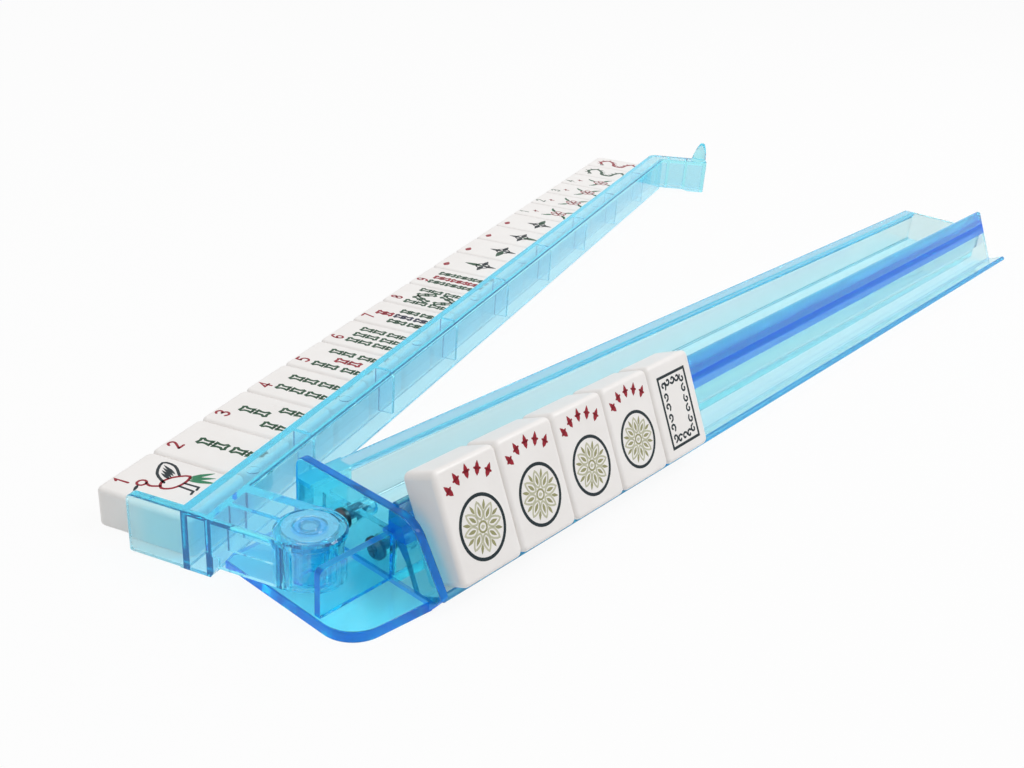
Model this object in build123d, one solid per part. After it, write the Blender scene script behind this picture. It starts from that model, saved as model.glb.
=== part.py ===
from build123d import *
import os
from math import cos, hypot, radians, sin, tan

# Tile rack with a swing-out tile pusher, hinged at one end of the rack.
# Frame: origin where the hinge axis meets the table, +X along the rack, away from the
# hinge, +Y to the back, where the pusher lies, +Z up. Millimetres.

# ---------------------------------------------------------------- tiles
tile_length = 30.0
tile_width = 22.0
tile_thickness = 11.6
tile_corner_radius = 2.0    # the four corners of a tile's face
tile_edge_bevel = 0.9       # around the face and the back
tile_gap = 0.1              # between neighbouring tiles
tile_seat = 0.05            # air between a tile and what carries it
wall_tile_count = 19        # face up, in front of the pusher
rack_tile_count = 5         # standing on the shelf

# ---------------------------------------------------------------- rack moulding
rack_wall = 2.0             # shelf, ledge, divider, floor and end walls
rack_back = 22.5            # hinge axis to the back edge of the rack
back_height = 15.2
flange_width = 5.6          # flat top of the back wall
flange_thickness = 2.5
trough_width = 29.4
ridge_height = 23.4
ridge_flat = 2.0            # width of the ridge between trough and shelf
ridge_solid = 9.0           # solid part of the ridge, measured down from its top at the trough
ridge_slant = 6.0           # from there its underside falls this far along the shelf
shelf_lean = 25.0           # degrees that the shelf leans back from upright
ledge_depth = 7.2           # shelf face to the ledge's outer edge
corner_radius = 1.5         # under the shelf, where the rack touches the table
lip_round = 0.9             # ridge, and the ledge's outer edge
inner_round = 0.8
first_tile_gap = 2.9        # rack's near end to the first standing tile
block_width = 11.0          # solid block in the trough's back corner, at the hinge end
block_length = 8.0
block_taper = 6.0
boss_radius = 2.7           # bosses that the two screws run into
boss_length = 6.0

# ---------------------------------------------------------------- hinge bracket
hub_to_plate = 3.6          # room for the screw heads
plate_thickness = 2.3
plate_seat = 0.05           # air between the end plate and the rack
plate_drop = 0.7            # end plate's top, below the ridge
plate_back_inset = 1.0      # end plate's back edge, in from the rack's back edge
plate_back_radius = 3.5
plate_brow_radius = 9.0     # long round between the plate's top and its sloping front
plate_brow_lean = 32.5      # degrees that the plate's front slopes from upright
plate_chin = (1.6, 5.4)     # plate's foremost point: past the ledge's edge, and its height
plate_chin_radius = 1.0
plate_toe = 28.2            # hinge axis to where the plate's front meets the table
floor_thickness = 3.0
floor_near = 10.5           # hinge axis to the free edge of the floor plate
floor_back_inset = 1.9      # in from the rack's back edge
floor_front = 25.9          # at the free edge; it widens towards the end plate
floor_front_slope = 5.7     # degrees
floor_front_radius = 9.5
floor_clearance = 0.35      # round the foot of the swinging hub arm
swing_stop = 109.7          # degrees from closed at which the hub arm meets the stop wall
stop_clearance = 0.12       # left there
stop_wall = 2.0
stop_height = 16.3
stop_inset = 0.7            # in from the floor plate's free edge
stop_radius = 1.8
screw_to_wall = 3.2         # front screw to the trough's front wall, at least
screw_to_stop = 4.0         # front screw to the stop wall, at least
screw_spacing = 11.7
screw_heights = (9.6, 12.4)     # of the front and the back screw
screw_radius = 1.25
screw_head_radius = 2.9
screw_head_height = 1.9
screw_length = 9.0          # under the head
screw_tip = (2.0, 0.3)      # length and end radius of the cone at its tip
screw_drive = (3.0, 0.6, 0.9)   # cross recess: length, width, depth
screw_drive_turn = 25.0     # degrees
screw_clearance = 0.15
screw_bite = 0.1            # thread cut into the boss

# ---------------------------------------------------------------- pivot
post_radius = 4.5
post_bore_radius = 2.7
post_clearance = 0.05       # running fit of the hub on the post
cap_radius = 7.2
cap_thickness = 1.1
cap_clearance = 0.2
cap_play = 0.1              # cap's underside above the hub's recess
cap_plug_length = 5.5
cap_plug_wall = 1.0
cap_plug_press = 0.02
cap_bevel = 0.35
cap_rings = (4.0, 2.5)      # radii of the ring grooves in the cap
cap_ring_depth = 0.35
cap_plug_bevel = 0.6

# ---------------------------------------------------------------- pusher moulding
open_angle = 18.7           # degrees that the pusher stands open
bar_width = 9.0
bar_height = 17.0
bar_wall = 2.0
bar_gap = 0.3               # closed bar to the back of the rack
bar_corner_radius = 5.0     # outside, between the bar and the far arm
rib_thickness = 1.4
rib_first = 49.6            # end plate of the bar to the first cross rib
rib_pitch = 47.8
rib_rise = 1.5              # underside of the ribs above the table
marks_radius = 1.8          # round marks under the top, one in each bay
marks_depth = 0.25
arm_outside = 9.1           # hinge axis to the hub arm's outer side, in line with the bar's end
arm_inside = 8.5            # hinge axis to the side that faces the rack
arm_rise = 0.4              # hub arm above the floor plate
foot_slope = 2.0            # run of the sloping foot under the bar's end
end_thickness = 2.5         # end plate of the bar
end_reach = 15.6            # end plate past the pushing face
end_corner_radius = 2.0
end_foot_radius = 0.8
tiles_from_hinge = -3.8     # first tile's near side, along the bar
hub_radius = 9.4
hub_step = 0.5
hub_steps = (15.2, 13.6)    # heights of the two steps under the hub's rim
hub_step_bevel = 0.25
hub_skin = 1.5
sleeve_wall = 1.4
spoke_count = 8
spoke_thickness = 1.1
far_arm_width = 9.0
far_arm_length = 25.0       # from the bar
far_arm_splay = 18.0        # degrees that the far arm leans away from the rack
far_arm_inset = 3.3         # its inner corner, short of the last tile's far side
far_arm_clearance = 0.8     # closed far arm to the far end of the rack
far_arm_foot = 9.0          # length of the low part at its end
far_arm_lift = 0.9          # the rest of its lower edge above the table
far_arm_slope = 3.0         # run between the two
far_arm_ribs = (3.6, 13.6)  # from the bar
tab_width = 8.2
tab_height = 9.8
tab_inset = 0.6             # far arm's end to the tab
tab_lean = 1.2              # tip's shift towards the arm's end
tab_sections = ((0.0, 1.0, 1.0), (0.5, 0.78, 0.8), (0.8, 0.53, 0.56), (1.0, 0.26, 0.3))

edge_round = 0.5

# ---------------------------------------------------------------- worked out from these
lean = radians(shelf_lean)
hinge_to_plate = hub_radius + hub_to_plate         # outer face of the end plate
plate_height = ridge_height - plate_drop
pitch = tile_width + tile_gap
bar_near = rack_back + bar_gap                     # rack side of the bar
push_face = bar_near + bar_width                   # tile side of the bar
far_arm_start = tiles_from_hinge + wall_tile_count * pitch - far_arm_inset
far_arm_place = Pos(far_arm_start, bar_near, 0) * Rot(0, 0, far_arm_splay)
plate_inner = hinge_to_plate + plate_thickness     # side that faces the rack
rack_start = plate_inner + plate_seat
rack_end = far_arm_start - far_arm_clearance
trough_back = rack_back - flange_width
trough_front = trough_back - trough_width
ridge_front = trough_front - ridge_flat
corner_height = (rack_wall - corner_radius) * (sin(lean) + cos(lean)) + corner_radius
corner_y = ridge_front - (ridge_height - corner_height) * tan(lean)
arm_underside = floor_thickness + arm_rise
cap_seat = bar_height - cap_thickness + cap_play   # underside of the cap
recess_floor = cap_seat - cap_play
foot_at_floor = bar_near - foot_slope * floor_thickness / arm_underside
floor_sweep = hypot(arm_outside - end_thickness, foot_at_floor) - floor_clearance
stop_end = stop_inset - floor_near                 # X of the stop wall's free end
stop_offset = (arm_outside + stop_clearance + stop_end * cos(radians(swing_stop))
               ) / cos(radians(swing_stop - 90))   # to its inner face
front_screw = max(trough_front + screw_to_wall, screw_to_stop - stop_offset)
screws = [(front_screw, screw_heights[0]), (front_screw + screw_spacing, screw_heights[1])]


def shelf_point(up, out):
    """A place beside the shelf: up along its face, and out from it to the front."""
    return (corner_y + up * sin(lean) - out * cos(lean),
            corner_height + up * cos(lean) + out * sin(lean))


def block(low, high):
    """A box between two corners."""
    size = [high[i] - low[i] for i in range(3)]
    middle = [(high[i] + low[i]) / 2 for i in range(3)]
    return Pos(*middle) * Box(*size)


def outline(points):
    return make_face(Polyline(*points, close=True))


def near(points, tolerance=0.01):
    """A test for vertices that lie at one of the given points of a sketch."""
    return lambda v: any(abs(v.X - x) + abs(v.Y - y) < tolerance for x, y in points)


def along_x(profile, start, end):
    """Extrude a profile drawn as (Y, Z) between two places along X."""
    return Pos(start, 0, 0) * (Plane.YZ * extrude(profile, end - start))


def turned(profile):
    """Revolve a profile drawn as (radius, Z) about the hinge axis."""
    return revolve(Plane.XZ * profile, Axis.Z)


# ================================================================= rack
def rack_profile():
    groove_top = ridge_height - ridge_solid
    up_at_groove = (groove_top - corner_height + rack_wall * sin(lean)) / cos(lean)
    ledge_top = shelf_point(0, ledge_depth)
    ledge_under = shelf_point(-rack_wall, ledge_depth)
    table_corner = shelf_point(-rack_wall, -rack_wall)
    inner_corner = shelf_point(0, 0)
    groove_front = shelf_point(up_at_groove - ridge_slant, -rack_wall)
    wall_back = trough_back + rack_wall
    flange_under = back_height - flange_thickness
    profile = outline([
        (wall_back, 0), (wall_back, flange_under), (rack_back, flange_under),
        (rack_back, back_height), (trough_back, back_height), (trough_back, rack_wall),
        (trough_front, rack_wall), (trough_front, ridge_height), (ridge_front, ridge_height),
        inner_corner, ledge_top, ledge_under, table_corner, groove_front,
        (ridge_front, groove_top), (ridge_front, 0)])
    rounds = {
        corner_radius: [table_corner],
        lip_round: [ledge_top, ledge_under, (trough_front, ridge_height),
                    (ridge_front, ridge_height)],
        inner_round: [inner_corner, (wall_back, 0), (trough_back, rack_wall),
                      (trough_front, rack_wall), (rack_back, back_height),
                      (rack_back, flange_under)],
    }
    for radius, places in rounds.items():
        profile = fillet(profile.vertices().filter_by(near(places)), radius)
    return profile


def rack_body():
    """Trough and shelf in one section, walled at both ends of the trough."""
    body = along_x(rack_profile(), rack_start, rack_end)
    into = rack_wall / 2
    for start in (rack_start, rack_end - rack_wall):
        body += block((start, trough_front - into, 0),
                      (start + rack_wall, trough_back + into, back_height))
    corner = outline([
        (rack_start, rack_back), (rack_start, rack_back - block_width),
        (rack_start + block_length, rack_back - block_width),
        (rack_start + block_length + block_taper, trough_back + into),
        (rack_start + block_length + block_taper, rack_back)])
    body += extrude(corner, back_height)
    for y, z in screws:
        boss_start = rack_start + rack_wall
        body += Pos(boss_start + boss_length / 2, y, z) * Rot(0, 90, 0) * Cylinder(
            boss_radius, boss_length)
        body -= Pos(rack_start, y, z) * Rot(0, 90, 0) * Cylinder(
            screw_radius - screw_bite, 2 * screw_length)
    return body


# ================================================================= hinge bracket
def end_plate():
    back = rack_back - plate_back_inset
    chin = (shelf_point(0, ledge_depth)[0] - plate_chin[0], plate_chin[1])
    brow_run = (plate_height - chin[1]) * tan(radians(plate_brow_lean))
    brow = (chin[0] + brow_run, plate_height)
    profile = outline([(back, 0), (back, plate_height), brow, chin, (-plate_toe, 0)])
    rounds = {plate_back_radius: [(back, plate_height)], plate_brow_radius: [brow],
              plate_chin_radius: [chin]}
    for radius, places in rounds.items():
        profile = fillet(profile.vertices().filter_by(near(places)), radius)
    plate = along_x(profile, hinge_to_plate, plate_inner)
    rim = [e for e in plate.edges()
           if abs(e.center().X - hinge_to_plate) < 0.01 and e.center().Z > floor_thickness + 1]
    return fillet(rim, edge_round)


def floor_plate():
    end = hinge_to_plate + plate_thickness / 2
    corner = (-floor_near, -floor_front)
    widening = (end + floor_near) * tan(radians(floor_front_slope))
    back = rack_back - floor_back_inset
    profile = outline([corner, (end, -floor_front - widening), (end, back), (-floor_near, back)])
    profile = fillet(profile.vertices().filter_by(near([corner])), floor_front_radius)
    profile &= Circle(floor_sweep) + Pos(0, -floor_front) * Rectangle(4 * end, 2 * floor_front)
    plate = extrude(profile, floor_thickness)
    top = plate.faces().sort_by(Axis.Z)[-1]
    return fillet([e for e in top.edges() if e.center().X < hinge_to_plate - 1], edge_round)


def stop():
    inner = -stop_offset
    wall = block((stop_end, inner - stop_wall, floor_thickness / 2),
                 (hinge_to_plate + plate_thickness / 2, inner, stop_height))
    top_near = [e for e in wall.edges().filter_by(Axis.Y)
                if e.center().X < 0 and e.center().Z > stop_height - 0.01]
    return fillet(top_near, stop_radius)


def hinge_bracket():
    """End plate, floor plate, stop wall and hollow post in one moulding."""
    post_height = cap_seat - floor_thickness / 2
    body = end_plate() + floor_plate() + stop()
    body += Pos(0, 0, floor_thickness / 2 + post_height / 2) * Cylinder(post_radius, post_height)
    bore_depth = cap_seat - floor_thickness
    body -= Pos(0, 0, floor_thickness + bore_depth / 2) * Cylinder(post_bore_radius, bore_depth)
    for y, z in screws:
        body -= Pos(hinge_to_plate, y, z) * Rot(0, 90, 0) * Cylinder(
            screw_radius + screw_clearance, 4 * plate_thickness)
    return body


def bracket_screws():
    """Two pan-head screws through the end plate, each a solid of its own."""
    cone_length, tip_radius = screw_tip
    drive_length, drive_width, drive_depth = screw_drive
    head = outline([(0, 0), (screw_head_radius, 0), (screw_head_radius, screw_head_height / 2),
                    (screw_head_radius * 0.7, screw_head_height), (0, screw_head_height)])
    shank = outline([(0, 0), (screw_radius, 0), (screw_radius, cone_length - screw_length),
                     (tip_radius, -screw_length), (0, -screw_length)])
    drive = Pos(0, 0, screw_head_height) * Box(drive_length, drive_width, 2 * drive_depth)
    screw = turned(head) + turned(shank) - drive - Rot(0, 0, 90) * drive
    facing = Rot(0, -90, 0) * Rot(0, 0, screw_drive_turn)
    return Compound(children=[Pos(hinge_to_plate, y, z) * facing * screw
                              for y, z in screws])


def pivot_cap():
    """Disc that holds the hub down, with a hollow plug pressed into the post."""
    top = cap_seat + cap_thickness
    plug_radius = post_bore_radius + cap_plug_press
    plug_end = cap_seat - cap_plug_length
    plug_bore = plug_radius - cap_plug_wall
    cap = turned(outline([
        (0, cap_seat), (plug_bore, cap_seat), (plug_bore, plug_end),
        (plug_radius - cap_plug_bevel, plug_end),
        (plug_radius, plug_end + cap_plug_bevel), (plug_radius, cap_seat),
        (cap_radius, cap_seat), (cap_radius, top - cap_bevel), (cap_radius - cap_bevel, top),
        (0, top)]))
    for radius in cap_rings:
        cap -= turned(outline([(radius - cap_ring_depth, top), (radius, top - cap_ring_depth),
                               (radius + cap_ring_depth, top)]))
    return cap


# ================================================================= pusher
def hub():
    """Sleeve round the post and an outer skin, joined by a recessed top and spokes."""
    sleeve_inner = post_radius + post_clearance
    skin_outer = hub_radius - 2 * hub_step
    top_under = recess_floor - bar_wall
    recess = cap_radius + cap_clearance
    shell = turned(outline([
        (sleeve_inner, arm_underside), (sleeve_inner, recess_floor), (recess, recess_floor),
        (recess, bar_height), (hub_radius - edge_round, bar_height),
        (hub_radius, bar_height - edge_round), (hub_radius, hub_steps[0] + hub_step_bevel),
        (hub_radius - hub_step_bevel, hub_steps[0]), (hub_radius - hub_step, hub_steps[0]),
        (hub_radius - hub_step, hub_steps[1] + hub_step_bevel),
        (hub_radius - hub_step - hub_step_bevel, hub_steps[1]),
        (skin_outer, hub_steps[1]), (skin_outer, arm_underside),
        (skin_outer - hub_skin, arm_underside), (skin_outer - hub_skin, top_under),
        (sleeve_inner + sleeve_wall, top_under), (sleeve_inner + sleeve_wall, arm_underside)]))
    for i in range(spoke_count):
        spoke = block((sleeve_inner + sleeve_wall / 2, -spoke_thickness / 2, arm_underside + 1),
                      (skin_outer - hub_skin / 2, spoke_thickness / 2, top_under + 0.5))
        shell += Rot(0, 0, (i + 0.5) * 360 / spoke_count) * spoke
    return shell


def hub_arm():
    """Box section open below, between the hub and the bar, with one rib along its middle."""
    body = block((-arm_outside, 0, arm_underside),
                 (arm_inside, bar_near + bar_wall / 2, bar_height))
    for low, high in ((bar_wall - arm_outside, -rib_thickness / 2),
                      (rib_thickness / 2, arm_inside - bar_wall)):
        body -= block((low, 0, arm_underside - 1), (high, bar_near, bar_height - bar_wall))
    body -= Pos(0, 0, bar_height / 2) * Cylinder(hub_radius - 2 * hub_step - hub_skin / 2,
                                                 2 * bar_height)
    foot = outline([(bar_near, 0), (bar_near + bar_wall / 2, 0),
                    (bar_near + bar_wall / 2, arm_underside + bar_wall),
                    (bar_near - foot_slope, arm_underside + bar_wall),
                    (bar_near - foot_slope, arm_underside)])
    return body + along_x(foot, -arm_outside, end_thickness - arm_outside)


def channel(low, high):
    """The space inside a box section that is open below."""
    return block((low[0], low[1], -1), (high[0], high[1], bar_height - bar_wall))


def far_arm_point(across, along):
    """A place in plan beside the far arm: across it from its inner side, and along it."""
    splay = radians(far_arm_splay)
    return (far_arm_start + across * cos(splay) + along * sin(splay),
            bar_near + across * sin(splay) - along * cos(splay))


def bar():
    start = -arm_outside
    inner_side = bar_near + bar_wall
    splay = radians(far_arm_splay)
    back_run = (bar_width - far_arm_width * sin(splay)) / cos(splay)
    corner = far_arm_point(far_arm_width, -back_run)
    tips = [far_arm_point(0, far_arm_length), far_arm_point(far_arm_width, far_arm_length)]
    plan = outline([(start, bar_near), far_arm_point(0, 0), tips[0], tips[1], corner,
                    (start, push_face)])
    plan = fillet(plan.vertices().filter_by(near([corner])), bar_corner_radius)
    plan = fillet(plan.vertices().filter_by(near(tips)), end_corner_radius)
    body = extrude(plan, bar_height)
    top = [e for e in body.edges() if abs(e.center().Z - bar_height) < 0.01]
    body = fillet(top, edge_round)
    body += end_wall()
    body -= channel((start + end_thickness, inner_side),
                    (far_arm_start + far_arm_width / 2, push_face - bar_wall))
    body -= far_arm_place * channel((bar_wall, bar_wall - far_arm_length),
                                    (far_arm_width - bar_wall, bar_width / 3))
    low_end = far_arm_foot - far_arm_length
    relief = outline([(0, -1), (0, far_arm_lift), (low_end + far_arm_slope, far_arm_lift),
                      (low_end, 0), (low_end, -1)])
    return body - far_arm_place * along_x(relief, -1, 2 * far_arm_width)


def end_wall():
    tip = push_face + end_reach
    profile = outline([(bar_near, 0), (tip, 0), (tip, bar_height), (bar_near, bar_height)])
    for z, radius in ((0, end_foot_radius), (bar_height, end_corner_radius)):
        profile = fillet(profile.vertices().filter_by(near([(tip, z)])), radius)
    plate = along_x(profile, -arm_outside, end_thickness - arm_outside)
    rim = [e for e in plate.edges() if abs(e.center().X + arm_outside) < 0.01
           and e.center().Y > push_face]
    return fillet(rim, edge_round)


def bar_ribs():
    """Cross ribs under the bar's top, and a round mark in the middle of each bay."""
    inside = (bar_near + bar_wall / 2, push_face - bar_wall / 2)
    top = bar_height - bar_wall
    start = -arm_outside
    count = int((far_arm_start - start - rib_first) // rib_pitch) + 1
    ribs = []
    for i in range(count):
        x = start + rib_first + i * rib_pitch
        ribs.append(block((x - rib_thickness / 2, inside[0], rib_rise),
                          (x + rib_thickness / 2, inside[1], top + 0.5)))
        ribs.append(Pos(x - rib_pitch / 2, (bar_near + push_face) / 2, top) * Cylinder(
            marks_radius, 2 * marks_depth))
    for along in far_arm_ribs:
        ribs.append(far_arm_place * block(
            (bar_wall / 2, -along - rib_thickness / 2, rib_rise),
            (far_arm_width - bar_wall / 2, -along + rib_thickness / 2, top + 0.5)))
    return ribs


def finger_tab():
    """Leaf-shaped tab on the end of the far arm, pulled to swing the pusher."""
    middle = tab_inset + tab_width / 2 - far_arm_length
    base = bar_height - edge_round
    sections = []
    for rise, wide, deep in tab_sections:
        face = Ellipse(deep * (far_arm_width / 2 - edge_round), wide * tab_width / 2)
        sections.append(Pos(far_arm_width / 2, middle - tab_lean * rise,
                            base + rise * (tab_height + edge_round)) * face)
    return far_arm_place * loft(sections)


def pusher_arm():
    body = bar() + hub_arm() + finger_tab()
    for rib in bar_ribs():
        body += rib
    body -= Pos(0, 0, bar_height / 2) * Cylinder(cap_radius + cap_clearance, 2 * bar_height)
    body += hub()
    return Rot(0, 0, open_angle) * body


# ================================================================= tiles
def tile():
    """A tile lying face up, centred on the origin."""
    body = Box(tile_width, tile_length, tile_thickness)
    body = fillet(body.edges().filter_by(Axis.Z), tile_corner_radius)
    outlines = [e for e in body.edges() if abs(e.center().Z) > tile_thickness / 2 - 0.01]
    return chamfer(outlines, tile_edge_bevel)


def wall_tile(index):
    along = tiles_from_hinge + index * pitch + tile_width / 2
    across = push_face + tile_seat + tile_length / 2
    return Rot(0, 0, open_angle) * Pos(along, across, tile_thickness / 2) * tile()


def rack_tile(index):
    along = rack_start + first_tile_gap + index * pitch + tile_width / 2
    y, z = shelf_point(tile_seat + tile_length / 2, tile_seat + tile_thickness / 2)
    return Pos(along, y, z) * Rot(90 - shelf_lean, 0, 0) * tile()


# ================================================================= export
def main():
    os.makedirs("parts", exist_ok=True)
    nodes = {
        "rack_body": rack_body(),
        "hinge_bracket": hinge_bracket(),
        "bracket_screws": bracket_screws(),
        "pivot_cap": pivot_cap(),
        "pusher_arm": pusher_arm(),
    }
    for i in range(wall_tile_count):
        nodes[f"wall_tile_{i + 1:02d}"] = wall_tile(i)
    for i in range(rack_tile_count):
        nodes[f"rack_tile_{i + 1:02d}"] = rack_tile(i)
    for name, shape in nodes.items():
        export_step(shape, f"parts/{name}.step")
        print(name, round(shape.volume, 1))


main()
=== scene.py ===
from math import cos, hypot, pi, radians, sin

import bmesh
import bpy
from mathutils import Matrix, Vector


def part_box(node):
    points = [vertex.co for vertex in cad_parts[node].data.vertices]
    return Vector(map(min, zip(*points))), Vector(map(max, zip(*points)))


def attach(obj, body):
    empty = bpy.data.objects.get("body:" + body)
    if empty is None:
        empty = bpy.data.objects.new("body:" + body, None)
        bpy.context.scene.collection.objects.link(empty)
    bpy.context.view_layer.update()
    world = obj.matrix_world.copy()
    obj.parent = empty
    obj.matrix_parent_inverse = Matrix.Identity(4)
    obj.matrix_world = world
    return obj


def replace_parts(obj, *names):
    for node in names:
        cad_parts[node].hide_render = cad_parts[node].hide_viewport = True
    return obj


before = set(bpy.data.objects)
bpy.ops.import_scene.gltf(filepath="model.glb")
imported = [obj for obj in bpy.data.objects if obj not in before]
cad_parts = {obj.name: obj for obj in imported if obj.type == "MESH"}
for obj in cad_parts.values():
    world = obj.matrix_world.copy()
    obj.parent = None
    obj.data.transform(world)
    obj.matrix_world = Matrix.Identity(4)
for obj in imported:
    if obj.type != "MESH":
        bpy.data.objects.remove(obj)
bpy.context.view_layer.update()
mm = 0.001
print("frame loaded")


def linear(hexText):
    # sRGB hex to linear RGBA
    channels = [int(hexText[i:i + 2], 16) / 255 for i in (1, 3, 5)]
    return [c / 12.92 if c <= 0.04045 else ((c + 0.055) / 1.055) ** 2.4 for c in channels] + [1.0]


def addNode(tree, kind, settings=None, links=None):
    # settings: attribute or input name -> value; links: input name -> output socket
    node = tree.nodes.new(kind)
    for name, value in (settings or {}).items():
        if isinstance(name, int) or name in node.inputs:
            node.inputs[name].default_value = value
        else:
            setattr(node, name, value)
    for name, socket in (links or {}).items():
        tree.links.new(socket, node.inputs[name])
    return node


def newTree(owner):
    owner.use_nodes = True
    owner.node_tree.nodes.clear()
    return owner.node_tree


def seenRay(tree):
    # 1 for rays that look at a surface: straight, mirrored or through clear plastic
    path = addNode(tree, "ShaderNodeLightPath")
    mirrored = addNode(tree, "ShaderNodeMath", {"operation": "MAXIMUM"},
                       {0: path.outputs["Is Camera Ray"], 1: path.outputs["Is Glossy Ray"]})
    return addNode(tree, "ShaderNodeMath", {"operation": "MAXIMUM"},
                   {0: mirrored.outputs[0], 1: path.outputs["Is Transmission Ray"]}).outputs[0]


def throughRay(tree):
    # 1 for rays that have come through clear plastic
    return addNode(tree, "ShaderNodeLightPath").outputs["Is Transmission Ray"]


view = {
    "place": (-0.14376, -0.17474, 0.16562),
    "heading": -51.138,     # degrees, from +Y towards -X
    "down": 25.687,
    "roll": 4.553,
    "focalPixels": 1096.49,
    "imageWidth": 1024,
    "sensor": 36.0,
    "clip": (0.01, 60.0),
}


def makeCamera():
    heading, down, roll = (radians(view[k]) for k in ("heading", "down", "roll"))
    ahead = Vector((-sin(heading) * cos(down), cos(heading) * cos(down), -sin(down)))
    right = ahead.cross(Vector((0, 0, 1))).normalized()
    up = right.cross(ahead)
    across = right * cos(roll) + up * sin(roll)
    upright = up * cos(roll) - right * sin(roll)
    data = bpy.data.cameras.new("camera")
    data.sensor_width = view["sensor"]
    data.lens = view["focalPixels"] * view["sensor"] / view["imageWidth"]
    data.clip_start, data.clip_end = view["clip"]
    camera = bpy.data.objects.new("camera", data)
    columns = Matrix((across, upright, -ahead)).transposed().to_4x4()
    camera.matrix_world = Matrix.Translation(view["place"]) @ columns
    bpy.context.scene.collection.objects.link(camera)
    bpy.context.scene.camera = camera


makeCamera()

studio = {
    "floorDrop": 0.1 * mm,
    "floorSize": 30.0,
    "floorPaint": "#e6e6e6",
    "floorSeenWhite": 0.92,     # share of plain white where the floor is looked at
    "floorSeenThrough": 0.36,   # the same where it is looked at through the plastic
    "fill": (0.28, 0.90),       # world strength on dull surfaces, at the horizon and overhead
    "lamps": (
        # name, place, aim, size, watts
        ("keyLamp", (0.75, -0.55, 1.05), (0.2, 0.05, 0.0), 0.7, 7.0),
        ("sideLamp", (-0.75, 0.1, 0.6), (0.2, 0.05, 0.0), 0.6, 0.6),
    ),
    "bounces": 96,              # enough for light that is caught inside the clear walls
    "dullBounces": 12,
}


def makeFloor():
    half = studio["floorSize"] / 2
    mesh = bpy.data.meshes.new("floor")
    corners = [(x, y, -studio["floorDrop"]) for x, y in
               ((-half, -half), (half, -half), (half, half), (-half, half))]
    mesh.from_pydata(corners, [], [(0, 1, 2, 3)])
    floor = bpy.data.objects.new("floor", mesh)
    bpy.context.scene.collection.objects.link(floor)
    material = bpy.data.materials.new("matteWhiteSweep")
    tree = newTree(material)
    paint = addNode(tree, "ShaderNodeBsdfDiffuse", {"Color": linear(studio["floorPaint"])})
    white = addNode(tree, "ShaderNodeEmission", {"Color": (1, 1, 1, 1), "Strength": 1.0})
    plain, through = studio["floorSeenWhite"], studio["floorSeenThrough"]
    level = addNode(tree, "ShaderNodeMath", {
        "operation": "MULTIPLY_ADD", 1: through - plain, 2: plain}, {0: throughRay(tree)})
    share = addNode(tree, "ShaderNodeMath", {"operation": "MULTIPLY"},
                    {0: seenRay(tree), 1: level.outputs[0]})
    mix = addNode(tree, "ShaderNodeMixShader", None,
                  {0: share.outputs[0], 1: paint.outputs[0], 2: white.outputs[0]})
    addNode(tree, "ShaderNodeOutputMaterial", None, {"Surface": mix.outputs[0]})
    mesh.materials.append(material)


def makeWorld():
    # soft box overhead: the fill grows from the horizon up, the looked-at background stays white
    world = bpy.data.worlds.new("studio")
    bpy.context.scene.world = world
    tree = newTree(world)
    low, high = studio["fill"]
    place = addNode(tree, "ShaderNodeTexCoord")
    height = addNode(tree, "ShaderNodeSeparateXYZ", None, {0: place.outputs["Generated"]})
    strength = addNode(tree, "ShaderNodeMapRange", {"To Min": low, "To Max": high},
                       {"Value": height.outputs["Z"]})
    fill = addNode(tree, "ShaderNodeBackground", {"Color": (1, 1, 1, 1)},
                   {"Strength": strength.outputs[0]})
    seen = addNode(tree, "ShaderNodeBackground", {"Color": (1, 1, 1, 1), "Strength": 1.0})
    mix = addNode(tree, "ShaderNodeMixShader", None,
                  {0: seenRay(tree), 1: fill.outputs[0], 2: seen.outputs[0]})
    addNode(tree, "ShaderNodeOutputWorld", None, {"Surface": mix.outputs[0]})


def makeLamps():
    for name, place, aim, size, watts in studio["lamps"]:
        data = bpy.data.lights.new(name, "AREA")
        data.size = size
        data.energy = watts
        lamp = bpy.data.objects.new(name, data)
        lamp.location = place
        lamp.rotation_euler = (Vector(aim) - Vector(place)).to_track_quat("-Z", "Y").to_euler()
        bpy.context.scene.collection.objects.link(lamp)


makeFloor()
makeWorld()
makeLamps()
bpy.context.scene.view_settings.view_transform = "Standard"
cycles = bpy.context.scene.cycles
cycles.max_bounces = studio["bounces"]
cycles.transmission_bounces = studio["bounces"]
cycles.transparent_max_bounces = studio["bounces"]
cycles.glossy_bounces = studio["dullBounces"]
cycles.diffuse_bounces = studio["dullBounces"]
print("studio made")

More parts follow.
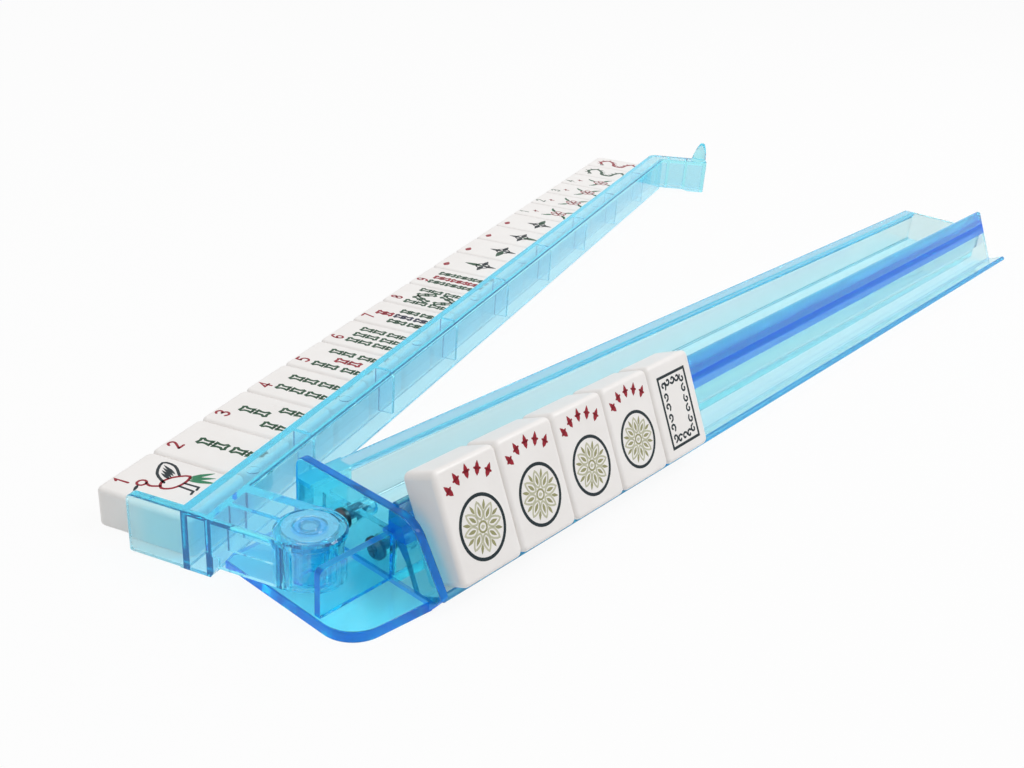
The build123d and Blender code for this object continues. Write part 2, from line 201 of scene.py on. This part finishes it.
plastic = {
    # wall tints each surface, absorb and perMetre are colour and density of the tint inside
    # haze is the share of light that a surface scatters, forward the part of it that goes through
    # the glow zones are painted glow: deep blue haze set by place in the part that stands in for
    # light caught in thick plastic; there haze is the painted share; middle and half range in mm
    "rack": {
        "wall": "#f3fafa", "roughness": 0.03, "absorb": (0.0, 0.94, 0.994), "perMetre": 65,
        "haze": 0.06, "hazeColour": "#d4eaf0", "forward": 0.5,
        "paintedGlow": [
            # painted glow on the ridge, the band under it, the rim of the back wall, the ledge's
            # outer edge
            {"Y": (-20.0, 9.5), "Z": (18.8, 4.7), "haze": 0.13, "colour": "#2cb0f4"},
            {"Y": (-20.0, 9.5), "Z": (16.2, 2.1), "haze": 0.5, "colour": "#2070ff"},
            {"Y": (19.7, 3.0), "Z": (14.6, 0.8), "haze": 0.35, "colour": "#40ccff"},
            {"Y": (-31.2, 1.2), "Z": (4.5, 1.6), "haze": 0.45, "colour": "#2ca0f0"},
        ],
    },
    "pusher": {
        "wall": "#effdff", "roughness": 0.03, "absorb": (0.0, 0.96, 0.997), "perMetre": 78,
        "haze": 0.04, "hazeColour": "#50b8ff", "forward": 0.8, "paintedGlow": [],
    },
    "bracket": {
        "wall": "#c2f8fe", "roughness": 0.02, "absorb": (0.0, 0.975, 0.999), "perMetre": 170,
        "haze": 0.085, "hazeColour": "#5cc4ff", "forward": 0.8,
        "paintedGlow": [
            # painted glow along the edges of the end plate, of the floor plate and of the stop wall
            {"X": (14.15, 1.05), "haze": 0.5, "colour": "#2898ff"},
            {"Z": (1.5, 1.4), "haze": 0.4, "colour": "#2484ff"},
            {"Y": (-14.3, 0.9), "Z": (10.0, 6.9), "haze": 0.5, "colour": "#2c80f4"},
        ],
    },
    "cap": {
        "wall": "#dff6fb", "roughness": 0.06, "absorb": (0.0, 0.90, 0.995), "perMetre": 60,
        "haze": 0.25, "hazeColour": "#90dcf4", "forward": 0.0, "paintedGlow": [],
    },
    "ior": 1.53,
    "lampTint": "#c8ecf8",      # what the lamps keep on their way through to the floor
    "ripple": 22.0 * mm,        # length of the flow ripple left by moulding
    "rippleDepth": 0.012 * mm,
    "rippleDetail": 1.0,
}


def cloud(tree, colour, forward):
    # milky scatter: part of the light is thrown back, part of it spreads on through the wall; the
    # painted glow zones use it too
    back = addNode(tree, "ShaderNodeBsdfDiffuse", {"Color": linear(colour)})
    through = addNode(tree, "ShaderNodeBsdfTranslucent", {"Color": linear(colour)})
    return addNode(tree, "ShaderNodeMixShader", {0: forward},
                   {1: back.outputs[0], 2: through.outputs[0]})


def clearPlastic(name, key):
    # injection moulded clear SAN, tinted aqua: polished, pale where thin, deep blue along its
    # edges, partly from the tint inside and partly from painted glow zones
    material = bpy.data.materials.new(name)
    tree = newTree(material)
    own = plastic[key]
    place = addNode(tree, "ShaderNodeTexCoord")
    ripple = addNode(tree, "ShaderNodeTexNoise", {
        "Scale": 1 / plastic["ripple"], "Detail": plastic["rippleDetail"]},
        {"Vector": place.outputs["Object"]})
    flow = addNode(tree, "ShaderNodeBump", {"Strength": 1.0, "Distance": plastic["rippleDepth"]},
                   {"Height": ripple.outputs["Fac"]})
    body = addNode(tree, "ShaderNodeBsdfPrincipled", {
        "Base Color": linear(own["wall"]), "Roughness": own["roughness"],
        "IOR": plastic["ior"], "Transmission Weight": 1.0}, {"Normal": flow.outputs[0]})
    haze = cloud(tree, own["hazeColour"], own["forward"])
    hazed = addNode(tree, "ShaderNodeMixShader", {0: own["haze"]},
                    {1: body.outputs[0], 2: haze.outputs[0]})
    # painted glow: in each zone, set by place in the part, a deep blue haze stands in for light
    # caught in the thick plastic
    if own["paintedGlow"]:
        where = addNode(tree, "ShaderNodeSeparateXYZ", None, {0: place.outputs["Object"]})
    for zone in own["paintedGlow"]:
        share = None
        for axis in [axis for axis in "XYZ" if axis in zone]:
            middle, half = zone[axis]
            inRange = addNode(tree, "ShaderNodeMath", {
                "operation": "COMPARE", 1: middle * mm, 2: half * mm}, {0: where.outputs[axis]})
            links = {0: inRange.outputs[0]}
            if share:
                links[1] = share.outputs[0]
            share = addNode(tree, "ShaderNodeMath", {
                "operation": "MULTIPLY", 1: zone["haze"]}, links)
        paintedGlow = cloud(tree, zone["colour"], own["forward"])
        hazed = addNode(tree, "ShaderNodeMixShader", None,
                        {0: share.outputs[0], 1: hazed.outputs[0], 2: paintedGlow.outputs[0]})
    path = addNode(tree, "ShaderNodeLightPath")
    lampsPass = addNode(tree, "ShaderNodeBsdfTransparent", {"Color": linear(plastic["lampTint"])})
    mix = addNode(tree, "ShaderNodeMixShader", None,
                  {0: path.outputs["Is Shadow Ray"], 1: hazed.outputs[0], 2: lampsPass.outputs[0]})
    inside = addNode(tree, "ShaderNodeVolumeAbsorption", {
        "Color": (*own["absorb"], 1), "Density": own["perMetre"]})
    addNode(tree, "ShaderNodeOutputMaterial", None,
            {"Surface": mix.outputs[0], "Volume": inside.outputs[0]})
    return material


def finishNode(name, material):
    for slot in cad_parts[name].material_slots:
        slot.material = material


finishNode("rack_body", clearPlastic("paleAquaMouldedSan", "rack"))
finishNode("pusher_arm", clearPlastic("aquaMouldedSan", "pusher"))
finishNode("hinge_bracket", clearPlastic("deepAquaMouldedSan", "bracket"))
finishNode("pivot_cap", clearPlastic("milkyMouldedSan", "cap"))
print("mouldings finished")

screw = {
    "light": "#6c7078",
    "dark": "#1c1d20",
    "turning": 0.5 * mm,        # real marks are near 0.1 mm apart, drawn coarser so that they show
    "turningScale": 6,          # the wave texture's own count of turns in one unit of scale
    "waver": 0.6,
    "markDepth": 0.01 * mm,
    "stain": 2.5 * mm,
    "stainDetail": 3.0,
    "roughness": 0.3,
}


def screwSteel():
    # turned and zinc plated steel: a dull grey mirror with fine marks and darker stains
    material = bpy.data.materials.new("turnedZincedSteel")
    tree = newTree(material)
    place = addNode(tree, "ShaderNodeTexCoord")
    marks = addNode(tree, "ShaderNodeTexWave", {
        "wave_type": "RINGS", "rings_direction": "X", "Distortion": screw["waver"],
        "Scale": 1 / (screw["turningScale"] * screw["turning"])},
        {"Vector": place.outputs["Object"]})
    stains = addNode(tree, "ShaderNodeTexNoise", {
        "Scale": 1 / screw["stain"], "Detail": screw["stainDetail"]},
        {"Vector": place.outputs["Object"]})
    colour = addNode(tree, "ShaderNodeMix", {
        "data_type": "RGBA", 6: linear(screw["dark"]), 7: linear(screw["light"])},
        {0: stains.outputs["Fac"]})
    bump = addNode(tree, "ShaderNodeBump", {"Strength": 1.0, "Distance": screw["markDepth"]},
                   {"Height": marks.outputs["Fac"]})
    steel = addNode(tree, "ShaderNodeBsdfPrincipled", {
        "Metallic": 1.0, "Roughness": screw["roughness"]},
        {"Base Color": colour.outputs[2], "Normal": bump.outputs[0]})
    addNode(tree, "ShaderNodeOutputMaterial", None, {"Surface": steel.outputs[0]})
    return material


finishNode("bracket_screws", screwSteel())
print("screws finished")

tile = {
    "width": 22.0, "length": 30.0, "thickness": 11.6,
    "cornerRound": 2.0,         # the four corners of the face
    "edgeRound": 1.3,           # around the face and the back
    "roundSteps": 5,
    "roundProfile": 0.5,        # a true quarter circle
    "flatFrom": 1e-4,           # square metres; larger faces are shaded flat
    "paintProud": 0.03,         # painted strokes stand this proud of the face
    "paintDeep": 0.3,
    "openAngle": 18.7,          # degrees that the row of flat tiles is turned
    "shelfLean": 25.0,          # degrees that the standing tiles lean back
    "light": "#f4f1ef", "shade": "#ebe7e4",
    "clouding": 9.0 * mm,
    "cloudDetail": 2.0,
    "roughness": (0.26, 0.31),
    "ior": 1.5,
}


def tileResin():
    # compression moulded melamine, polished: warm white, faintly cloudy, softly glossy
    material = bpy.data.materials.new("polishedMelamine")
    tree = newTree(material)
    place = addNode(tree, "ShaderNodeTexCoord")
    clouding = addNode(tree, "ShaderNodeTexNoise", {
        "Scale": 1 / tile["clouding"], "Detail": tile["cloudDetail"]},
        {"Vector": place.outputs["Object"]})
    colour = addNode(tree, "ShaderNodeMix", {
        "data_type": "RGBA", 6: linear(tile["shade"]), 7: linear(tile["light"])},
        {0: clouding.outputs["Fac"]})
    gloss = addNode(tree, "ShaderNodeMapRange", {
        "To Min": tile["roughness"][0], "To Max": tile["roughness"][1]},
        {"Value": clouding.outputs["Fac"]})
    resin = addNode(tree, "ShaderNodeBsdfPrincipled", {"IOR": tile["ior"]},
                    {"Base Color": colour.outputs[2], "Roughness": gloss.outputs[0]})
    addNode(tree, "ShaderNodeOutputMaterial", None, {"Surface": resin.outputs[0]})
    return material


def tileMesh(name, material):
    # a block of melamine with every edge and corner rounded
    mesh = bpy.data.meshes.new(name)
    shape = bmesh.new()
    bmesh.ops.create_cube(shape, size=1.0)
    size = Vector((tile["width"], tile["length"], tile["thickness"] - tile["paintProud"])) * mm
    bmesh.ops.scale(shape, vec=size, verts=shape.verts)
    bmesh.ops.translate(shape, vec=(0, 0, -tile["paintProud"] / 2 * mm), verts=shape.verts)
    upright = [e for e in shape.edges if abs(e.verts[0].co.z - e.verts[1].co.z) > mm]
    bmesh.ops.bevel(shape, geom=upright, offset=tile["cornerRound"] * mm,
                    segments=tile["roundSteps"], profile=tile["roundProfile"], affect="EDGES")
    rim = [e for e in shape.edges if abs(e.verts[0].co.z - e.verts[1].co.z) < mm]
    bmesh.ops.bevel(shape, geom=rim, offset=tile["edgeRound"] * mm,
                    segments=tile["roundSteps"], profile=tile["roundProfile"], affect="EDGES")
    for face in shape.faces:
        face.smooth = len(face.verts) < 4 or face.calc_area() < tile["flatFrom"]
    shape.to_mesh(mesh)
    shape.free()
    mesh.materials.append(material)
    return mesh


paint = {
    "colours": {
        "red": "#940d24", "green": "#074527", "ink": "#051d24", "night": "#131b3a",
        "olive": "#96956a", "straw": "#bdbca2", "moss": "#6f7f74", "leaf": "#1f7a52",
    },
    "line": 0.6,
    "rodLine": 0.88,
    "numberLine": 0.75,
    "numberHalf": 2.1,          # half the height of a numeral
    "numberPlace": (-5.2, 11.2),
    "tip": 0.45,                # rounded end of a line, as a share of its width
    "patch": 1.5 * mm,          # brush-to-brush change in the paint
    "patchDetail": 2.0,
    "patchRange": (0.8, 1.2),
    "roughness": 0.4,
    "specular": 0.3,            # dull enamel, it keeps its depth at a low angle
    "ior": 1.5,
}


def enamel(name, hexText):
    # enamel brushed into engraved strokes: even and satin, a little thin here and there
    material = bpy.data.materials.new(name + "BrushedEnamel")
    tree = newTree(material)
    place = addNode(tree, "ShaderNodeTexCoord")
    patches = addNode(tree, "ShaderNodeTexNoise", {
        "Scale": 1 / paint["patch"], "Detail": paint["patchDetail"]},
        {"Vector": place.outputs["Object"]})
    thin = addNode(tree, "ShaderNodeMapRange", {
        "To Min": paint["patchRange"][0], "To Max": paint["patchRange"][1]},
        {"Value": patches.outputs["Fac"]})
    colour = addNode(tree, "ShaderNodeHueSaturation", {"Color": linear(hexText)},
                     {"Value": thin.outputs[0]})
    coat = addNode(tree, "ShaderNodeBsdfPrincipled", {
        "Roughness": paint["roughness"], "Specular IOR Level": paint["specular"],
        "IOR": paint["ior"]},
        {"Base Color": colour.outputs[0]})
    addNode(tree, "ShaderNodeOutputMaterial", None, {"Surface": coat.outputs[0]})
    return material


def curve(points, closed=False, steps=4):
    # smooth line through the points
    count = len(points)
    runs = count if closed else count - 1
    out = []
    for i in range(runs):
        near = [points[(i + k) % count] if closed else points[min(max(i + k, 0), count - 1)]
                for k in (-1, 0, 1, 2)]
        for step in range(steps):
            t = step / steps
            out.append(tuple(0.5 * (2 * b + (c - a) * t + (2 * a - 5 * b + 4 * c - d) * t * t
                                    + (3 * b - a - 3 * c + d) * t ** 3)
                             for a, b, c, d in zip(*near)))
    return out if closed else out + [tuple(points[-1])]


def line(colour, points, width=None, closed=False):
    # one even brush line with rounded ends
    width = width or paint["line"]
    tipWidth = width * paint["tip"]
    widths = [width] * len(points)
    if not closed:
        for end, after in ((0, 1), (-1, -2)):
            (x, y), (u, v) = points[end], points[after]
            reach = tipWidth / max(hypot(x - u, y - v), 1e-6)
            tip = (x + (x - u) * reach, y + (y - v) * reach)
            points = [tip] + list(points) if end == 0 else list(points) + [tip]
            widths = [tipWidth] + widths if end == 0 else widths + [tipWidth]
    return colour, points, widths, closed


def leaf(colour, start, end, width):
    # one filled stroke that swells in its middle
    shares = ((0.0, 0.08), (0.2, 0.72), (0.45, 1.0), (0.75, 0.62), (1.0, 0.06))
    points = [(start[0] + (end[0] - start[0]) * t, start[1] + (end[1] - start[1]) * t)
              for t, _ in shares]
    return colour, points, [width * share for _, share in shares], False


def oval(centre, wide, high, count=20, start=0.0):
    return [(centre[0] + wide * cos(start + 2 * pi * i / count),
             centre[1] + high * sin(start + 2 * pi * i / count)) for i in range(count)]


def moved(strokes, place, size=1.0, turn=0.0):
    # the same strokes at another place, size and angle in degrees
    c, s = cos(radians(turn)) * size, sin(radians(turn)) * size
    return [(colour, [(place[0] + c * x - s * y, place[1] + s * x + c * y) for x, y in points],
             widths, closed) for colour, points, widths, closed in strokes]


numerals = {
    1: [("run", [(-0.25, 0.6), (0.05, 1), (0.05, -1)])],
    2: [("arc", [(-0.5, 0.55), (-0.3, 0.9), (0.1, 1), (0.5, 0.75), (0.45, 0.3), (0, -0.35),
                 (-0.5, -1)]),
        ("run", [(-0.5, -1), (0.55, -1)])],
    3: [("arc", [(-0.5, 0.7), (-0.1, 1), (0.4, 0.75), (0.35, 0.3), (-0.1, 0.08)]),
        ("arc", [(-0.1, 0.08), (0.45, -0.15), (0.5, -0.65), (0.05, -1), (-0.5, -0.75)])],
    4: [("run", [(0.2, -1), (0.2, 1), (-0.55, -0.35), (0.55, -0.35)])],
    5: [("run", [(0.45, 1), (-0.35, 1), (-0.42, 0.15)]),
        ("arc", [(-0.42, 0.15), (0.1, 0.3), (0.5, -0.1), (0.45, -0.7), (0, -1), (-0.5, -0.8)])],
    6: [("arc", [(0.4, 0.85), (0, 1), (-0.45, 0.4), (-0.5, -0.4), (-0.1, -1), (0.4, -0.75),
                 (0.42, -0.2), (0, 0.05), (-0.42, -0.2)])],
    7: [("run", [(-0.5, 1), (0.5, 1), (-0.1, -1)])],
    8: [("loop", oval((0, 0.5), 0.38, 0.45, 8)), ("loop", oval((0, -0.5), 0.48, 0.5, 8))],
}


def numeral(number, colour="red"):
    # a plain number in the tile's upper corner; a nine is a six turned round
    half = paint["numberHalf"]
    strokes = []
    for kind, points in numerals[6 if number == 9 else number]:
        points = [(x * half, y * half) for x, y in points]
        if kind != "run":
            points = curve(points, kind == "loop", 3)
        strokes.append(line(colour, points, paint["numberLine"], kind == "loop"))
    return moved(strokes, paint["numberPlace"], turn=180 if number == 9 else 0)


def stick(x, y, length, colour="green", turn=0.0):
    # a jointed bamboo rod: two waisted halves and the ring between them
    half = length / 2
    strokes = []
    for s in (1, -1):
        profile = ((1.15, 0.15), (0.75, 0.4), (0.8, 0.66), (1.45, 0.84), (1.1, 0.99))
        outline = [(-x, y * s * half) for x, y in profile] + [(0, 0.93 * s * half)]
        outline += [(x, y * s * half) for x, y in reversed(profile)]
        strokes.append(line(colour, outline, paint["rodLine"], True))
        strokes.append(line(colour, [(s * 0.6, -0.15 * half), (s * 0.6, 0.15 * half)], 0.4))
    return moved(strokes, (x, y), turn=turn)


rods = {
    # place of a rod's middle, its length, then its colour and its turn where they differ
    2: [(0.3, 2.6, 9.2), (0.3, -8.5, 9.2)],
    3: [(0.3, 3.8, 9.2), (-5, -7.2, 9.2), (5, -7.2, 9.2)],
    4: [(x, y, 9.2) for x in (-3.9, 3.9) for y in (2.8, -7.8)],
    5: [(x, y, 8.6) for x in (-5.6, 5.6) for y in (2.6, -8.2)] + [(0, -2.8, 8.8, "red")],
    6: [(x, y, 8.8) for x in (-5.2, 0, 5.2) for y in (2.8, -7.6)],
    7: [(0, 7.2, 6.0, "red")] + [(x, y, 6.6, "night" if x == 0 else "green")
                                 for x in (-5.2, 0, 5.2) for y in (-0.4, -8.4)],
    8: [(-6.8, 2.4, 8.6), (6.8, 2.4, 8.6), (-6.8, -7.8, 8.6), (6.8, -7.8, 8.6),
        (-2.5, 2.2, 7.0, "green", -28), (2.5, 2.2, 7.0, "green", 28),
        (-2.5, -7.0, 7.0, "green", 28), (2.5, -7.0, 7.0, "green", -28)],
    9: [(x, y, 6.4, "red" if x == 0 else "green")
        for x in (-5.2, 0, 5.2) for y in (5.0, -2.4, -9.6)],
}


def bird():
    # a plain wading bird, wing raised
    trunk = [(-3.2, 0.6), (-1, 2.2), (2, 1.2), (4.2, -1.8), (1.2, -2.6), (-2, -1.6)]
    wing = [(-1, 1.6), (1.6, 5.6), (6.2, 7.6), (6.4, 4.2), (3.4, 0.6)]
    strokes = [
        line("red", curve(trunk, True, 3), 0.8, True),
        line("red", curve([(-2.6, 1.4), (-3.6, 3.4), (-3.0, 5.0)]), 0.8),
        line("red", oval((-3.4, 6.0), 1.2, 1.1, 10), 0.7, True),
        leaf("ink", (-4.5, 6.1), (-7.4, 5.2), 1.0),
        line("ink", curve(wing, False, 3), 0.8),
        line("ink", [(-0.6, -2.4), (-0.9, -6.6), (-2.2, -6.9)], 0.7),
        line("ink", [(1.0, -2.5), (1.1, -6.6), (-0.1, -6.9)], 0.7),
    ]
    feathers = [leaf("ink", (0.9 + 0.8 * i, 1.4 + 0.1 * i), (2.2 + 1.1 * i, 4.9 + 0.6 * i), 1.0)
                for i in range(4)]
    tail = [leaf("leaf", (3.6 - 0.6 * i, -2.0 - 0.2 * i), (8.0 - 1.8 * i, -6.2 - 1.5 * i), 1.5)
            for i in range(3)]
    return moved(strokes + feathers + tail, (0.4, -0.6), 1.12)


def star(quarter):
    # a compass star, its long point turned by quarters
    strokes = [line("ink", oval((0, 0), 2.3, 2.3, 14), closed=True)]
    strokes += moved([leaf("green", (0, 0), (0, 6.6), 2.8)], (0, 0), turn=90 * quarter)
    for turn in (1, 2, 3):
        strokes += moved([leaf("ink", (0, 0), (0, 5.0), 2.2)], (0, 0), turn=90 * (quarter + turn))
    return moved(strokes, (0.4, -2.8), 1.2) + [leaf("red", (-7.4, 11.0), (-3.0, 11.0), 2.6)]


def flower(number):
    # a five-petalled flower between four leaves
    centre = (0.6, -4.2)
    strokes = numeral(number, "moss")
    petal = curve([(0, 0.7), (1.3, 1.9), (0.9, 3.4), (-0.9, 3.4), (-1.3, 1.9)], True, 2)
    for i in range(5):
        strokes += moved([line("red", petal, closed=True)], centre, turn=72 * i)
    rib = curve([(0, 3.2), (0.5, 5.6), (1.6, 8.4)])
    for turn in (40, 130, 220, 310):
        blade = [leaf("leaf", (0, 3.4), (0.8, 8.0), 1.7), line("green", rib)]
        strokes += moved(blade, centre, turn=turn + 9 * number)
    return strokes + [leaf("red", (-2.6, 6.6), (0.2, 7.6), 1.0),
                      leaf("red", (-1.4, 5.0), (-1.0, 8.6), 0.8)]


def serpent(colour):
    # a winding ribbon with fins along its back
    spine = curve([(-4.6, 7.6), (0, 9.6), (4.6, 6.4), (1, 2.6), (-4.2, 0.8), (-4.6, -3.6),
                   (0.4, -4.8), (4.6, -7.4), (0.6, -11)])
    strokes = [line(colour, spine, 1.5)]
    for i in range(2, len(spine) - 2, 2):
        (x, y), (u, v) = spine[i], spine[i + 1]
        reach = 2.3 / hypot(u - x, v - y)
        strokes.append(leaf(colour, (x, y), (x - (v - y) * reach, y + (u - x) * reach), 0.9))
    return strokes + [line("moss", oval((-5.6, 7.4), 1.1, 0.9, 8), closed=True)]


def medallion():
    # a rosette in an oval ring, with five pips in an arc above it
    strokes = [line("ink", oval((0, 0), 7.5, 8.0, 40), 0.9, closed=True)]
    outline = curve([(0, 1.9), (1.25, 3.6), (0, 6.3), (-1.25, 3.6)], True, 3)
    petal = [line("straw", outline, 0.5, closed=True), leaf("olive", (0, 2.5), (0, 5.2), 1.0)]
    between = [leaf("olive", (0, 4.2), (0, 6.7), 0.9)]
    for i in range(8):
        strokes += moved(petal, (0, 0), turn=45 * i) + moved(between, (0, 0), turn=45 * i + 22.5)
    strokes += [line("olive", oval((0, 0), 1.35, 1.35, 12), 0.5, closed=True),
                leaf("straw", (-0.7, 0), (0.7, 0), 1.1)]
    pip = [leaf("red", (0, -1.9), (0, 1.9), 1.7), line("red", [(-1.0, 0), (1.0, 0)], 0.6)]
    pips = []
    for x, y, turn in ((-7.6, 9.0, 38), (-4.4, 10.9, 20), (-0.6, 11.6, 0), (3.2, 11.1, -20),
                       (6.6, 9.4, -38)):
        pips += moved(pip, (x, y), turn=turn)
    return moved(strokes, (0, -3.0)) + pips


def border():
    # an empty panel in a ruled frame with a row of hooks inside it
    wide, high = 6.9, 10.8
    corners = [(-wide, -high), (wide, -high), (wide, high), (-wide, high)]
    strokes = [line("ink", corners, 0.85, closed=True)]
    hook = [((1.35 - 0.14 * i) * cos(0.75 * i), (1.35 - 0.14 * i) * sin(0.75 * i))
            for i in range(8)]
    upright = [(side * (wide - 2.0), -8.0 + 3.2 * i, 90 * side)
               for side in (1, -1) for i in range(6)]
    level = [(-2.5 + 2.5 * i, side * (high - 1.9), 90 + 90 * side)
             for side in (1, -1) for i in range(3)]
    for i, (x, y, turn) in enumerate(upright + level):
        strokes += moved([line("ink", hook, 0.62)], (x, y), turn=turn + 35 * (i % 2))
    return moved(strokes, (0, -0.5))


def addStroke(shape, stroke, slots, top, bottom):
    # a closed thin slab along the stroke, mitred at its corners
    colour, points, widths, closed = stroke
    count = len(points)
    sides = []
    for i, (x, y) in enumerate(points):
        before = points[i - 1] if closed or i else points[i]
        after = points[(i + 1) % count] if closed or i < count - 1 else points[i]
        into = Vector((x - before[0], y - before[1]))
        out = Vector((after[0] - x, after[1] - y))
        into = into.normalized() if into.length > 1e-9 else out.normalized()
        out = out.normalized() if out.length > 1e-9 else into
        across = Vector((-(into + out).y, (into + out).x))
        across = across.normalized() if across.length > 1e-6 else Vector((-into.y, into.x))
        half = widths[i] / 2 / max(abs(across.dot(Vector((-into.y, into.x)))), 0.5)
        sides.append([
            shape.verts.new(Vector((x + k * across.x * half, y + k * across.y * half, z)) * mm)
            for k, z in ((1, top), (-1, top), (-1, bottom), (1, bottom))])
    faces = []
    for i in range(count if closed else count - 1):
        here, there = sides[i], sides[(i + 1) % count]
        faces += [shape.faces.new((here[k], here[(k + 1) % 4], there[(k + 1) % 4], there[k]))
                  for k in range(4)]
    if not closed:
        faces += [shape.faces.new(sides[0][::-1]), shape.faces.new(sides[-1])]
    for face in faces:
        face.material_index = slots[colour]


def paintMesh(name, strokes, materials):
    # all strokes of one face, one material slot for each colour
    colours = sorted({stroke[0] for stroke in strokes})
    slots = {colour: i for i, colour in enumerate(colours)}
    top = tile["thickness"] / 2
    shape = bmesh.new()
    for stroke in strokes:
        addStroke(shape, stroke, slots, top, top - tile["paintProud"] - tile["paintDeep"])
    bmesh.ops.recalc_face_normals(shape, faces=shape.faces)
    mesh = bpy.data.meshes.new(name)
    shape.to_mesh(mesh)
    shape.free()
    for colour in colours:
        mesh.materials.append(materials[colour])
    return mesh


def design(kind, number):
    # the row runs: rods 1 to 9, four stars, four flowers, two serpents
    if kind == "rack":
        return border() if number == 5 else medallion()
    if number == 1:
        return numeral(1) + bird()
    if number in rods:
        return numeral(number) + [stroke for rod in rods[number] for stroke in stick(*rod)]
    if number < 14:
        return star(number - 10)
    return flower(number - 13) if number < 18 else serpent("green" if number == 18 else "red")


def placement(kind, node):
    # the tile's own axes: right across its face, up its face, out of its face
    low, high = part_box(node)
    if kind == "wall":
        turn = radians(tile["openAngle"])
        axes = ((cos(turn), sin(turn), 0), (-sin(turn), cos(turn), 0), (0, 0, 1))
    else:
        lean = radians(tile["shelfLean"])
        axes = ((1, 0, 0), (0, sin(lean), cos(lean)), (0, -cos(lean), sin(lean)))
    return Matrix.Translation((low + high) / 2) @ Matrix(axes).transposed().to_4x4()


def addPiece(name, mesh, place, body):
    # the place goes into the mesh itself, so that each tile gets its own part of the clouding
    mesh.transform(place)
    piece = bpy.data.objects.new(name, mesh)
    bpy.context.scene.collection.objects.link(piece)
    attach(piece, body)
    return piece


def makeTiles():
    resin = tileResin()
    enamels = {name: enamel(name, hexText) for name, hexText in paint["colours"].items()}
    for kind, count in (("wall", 19), ("rack", 5)):
        for number in range(1, count + 1):
            node = f"{kind}_tile_{number:02d}"
            place = placement(kind, node)
            name = f"{kind}Tile{number:02d}"
            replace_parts(addPiece(name, tileMesh(name, resin), place, node), node)
            face = paintMesh(name + "Paint", design(kind, number), enamels)
            addPiece(name + "Paint", face, place, node)


makeTiles()
print("tiles made")
